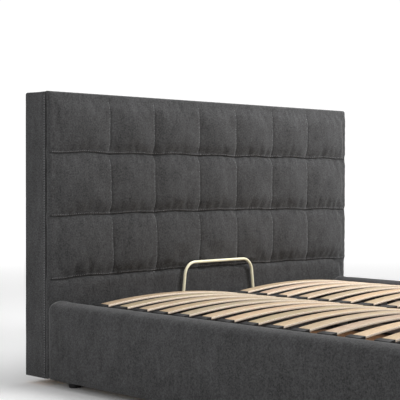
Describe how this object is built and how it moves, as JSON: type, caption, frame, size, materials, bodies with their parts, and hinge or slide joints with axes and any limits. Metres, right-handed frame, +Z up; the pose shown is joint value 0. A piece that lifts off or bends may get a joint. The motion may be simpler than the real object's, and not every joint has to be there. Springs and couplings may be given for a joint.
{
  "type": "double bed",
  "caption": "Padded double bed with a square-stitched headboard, padded rails and a sprung slat base that lifts on links and gas springs off a storage box.",
  "frame": {"origin": "on the floor, under the middle of the bed's overall length and width", "axes": "+X across the bed to the right seen from the foot, +Y towards the headboard, +Z up"},
  "size_m": [1.816, 2.2698, 1.13],
  "materials": {
    "velour": "charcoal grey velour with a soft mottled nap, sewn and padded",
    "softwood": "planed pine, unfinished",
    "chipboard": "raw particle board",
    "hardboard": "thin lacquered fibreboard",
    "back_cloth": "thin fibreboard faced with black non-woven cloth",
    "birch": "laminated birch, bent and clear lacquered, paler at the cut edges",
    "black_plastic": "moulded black polypropylene, fine grain",
    "graphite_steel": "graphite powder coat on steel tube",
    "ivory_steel": "ivory powder coat on round bar",
    "zinc_steel": "bright zinc plated pressed steel",
    "spring_black": "semi-gloss black stove enamel",
    "spring_chrome": "ground and plated piston rod",
    "rubber_pad": "black rubber"
  },
  "bodies": {
    "root": {"headboard_padded_front": "velour", "headboard_border": "velour", "side_rail_padding_left": "velour", "side_rail_padding_right": "velour", "footboard_padding": "velour", "headboard_posts": "softwood", "headboard_edge_strips": "softwood", "headboard_cross_rails": "softwood", "floor_battens": "softwood", "floor_middle_beam": "softwood", "base_rest_blocks": "softwood", "headboard_front_board": "chipboard", "side_rail_board_left": "chipboard", "side_rail_board_right": "chipboard", "footboard_board": "chipboard", "storage_floor_head_left": "hardboard", "storage_floor_head_right": "hardboard", "storage_floor_foot_left": "hardboard", "storage_floor_foot_right": "hardboard", "headboard_back_board": "back_cloth", "side_rail_feet": "black_plastic", "headboard_feet": "black_plastic", "footboard_feet": "black_plastic", "floor_beam_feet": "black_plastic", "corner_bracket_head_left": "zinc_steel", "corner_bracket_head_right": "zinc_steel", "corner_bracket_foot_left": "zinc_steel", "corner_bracket_foot_right": "zinc_steel", "corner_bolts": "zinc_steel", "rail_plate_left": "zinc_steel", "rail_plate_right": "zinc_steel", "rail_plate_screws": "zinc_steel", "rail_pivot_pins": "zinc_steel", "base_rest_pads": "rubber_pad"},
    "lift_base": {"base_frame": "graphite_steel", "frame_end_caps": "black_plastic", "slats_left": "birch", "slats_right": "birch", "side_slat_holders_left": "black_plastic", "side_slat_holders_right": "black_plastic", "middle_slat_holders": "black_plastic", "mattress_stop_bar": "ivory_steel", "mattress_stop_plates": "ivory_steel", "mattress_stop_bolts": "zinc_steel", "lift_bar_left": "zinc_steel", "lift_bar_right": "zinc_steel", "lift_bar_bolts": "zinc_steel", "lift_bar_pins": "zinc_steel"},
    "rear_link_left": {"rear_link_left": "zinc_steel"},
    "front_link_left": {"front_link_left": "zinc_steel", "front_link_pin_left": "zinc_steel"},
    "gas_cylinder_left": {"gas_spring_cylinder_left": "spring_black"},
    "gas_rod_left": {"gas_spring_rod_left": "spring_chrome", "gas_spring_stud_left": "zinc_steel"},
    "rear_link_right": {"rear_link_right": "zinc_steel"},
    "front_link_right": {"front_link_right": "zinc_steel", "front_link_pin_right": "zinc_steel"},
    "gas_cylinder_right": {"gas_spring_cylinder_right": "spring_black"},
    "gas_rod_right": {"gas_spring_rod_right": "spring_chrome", "gas_spring_stud_right": "zinc_steel"}
  },
  "joints": [
    {"name": "base_lift", "type": "hinge", "parent": "rear_link_left", "child": "lift_base", "pos_m": [-0.7905, 0.728, 0.268], "axis": [-1, 0, 0], "range_deg": [0, 76.9]},
    {"name": "rear_link_left_swing", "type": "hinge", "parent": "root", "child": "rear_link_left", "pos_m": [-0.7905, 0.56849, 0.13], "axis": [-1, 0, 0], "range_deg": [-39, 0]},
    {"name": "front_link_left_swing", "type": "hinge", "parent": "root", "child": "front_link_left", "pos_m": [-0.7905, 0.34316, 0.13], "axis": [-1, 0, 0], "range_deg": [-28.9, 0]},
    {"name": "gas_cylinder_left_swing", "type": "hinge", "parent": "root", "child": "gas_cylinder_left", "pos_m": [-0.776, 0.788, 0.11], "axis": [-1, 0, 0], "range_deg": [0, 7.25]},
    {"name": "gas_rod_left_slide", "type": "slide", "parent": "gas_cylinder_left", "child": "gas_rod_left", "axis": [0, -0.947, 0.3213], "range_m": [0, 0.0788]},
    {"name": "rear_link_right_swing", "type": "hinge", "parent": "root", "child": "rear_link_right", "pos_m": [0.7905, 0.56849, 0.13], "axis": [-1, 0, 0], "range_deg": [-39, 0]},
    {"name": "front_link_right_swing", "type": "hinge", "parent": "root", "child": "front_link_right", "pos_m": [0.7905, 0.34316, 0.13], "axis": [-1, 0, 0], "range_deg": [-28.9, 0]},
    {"name": "gas_cylinder_right_swing", "type": "hinge", "parent": "root", "child": "gas_cylinder_right", "pos_m": [0.776, 0.788, 0.11], "axis": [-1, 0, 0], "range_deg": [0, 7.25]},
    {"name": "gas_rod_right_slide", "type": "slide", "parent": "gas_cylinder_right", "child": "gas_rod_right", "axis": [0, -0.947, 0.3213], "range_m": [0, 0.0788]}
  ],
  "couplings": [
    {"joint": "rear_link_left_swing", "follows": "base_lift", "ratio": -0.50587},
    {"joint": "front_link_left_swing", "follows": "base_lift", "ratio": -0.37453},
    {"joint": "gas_cylinder_left_swing", "follows": "base_lift", "ratio": 0.092893},
    {"joint": "gas_rod_left_slide", "follows": "base_lift", "m_per_rad": 0.058589},
    {"joint": "rear_link_right_swing", "follows": "base_lift", "ratio": -0.50587},
    {"joint": "front_link_right_swing", "follows": "base_lift", "ratio": -0.37453},
    {"joint": "gas_cylinder_right_swing", "follows": "base_lift", "ratio": 0.092893},
    {"joint": "gas_rod_right_slide", "follows": "base_lift", "m_per_rad": 0.058589}
  ]
}
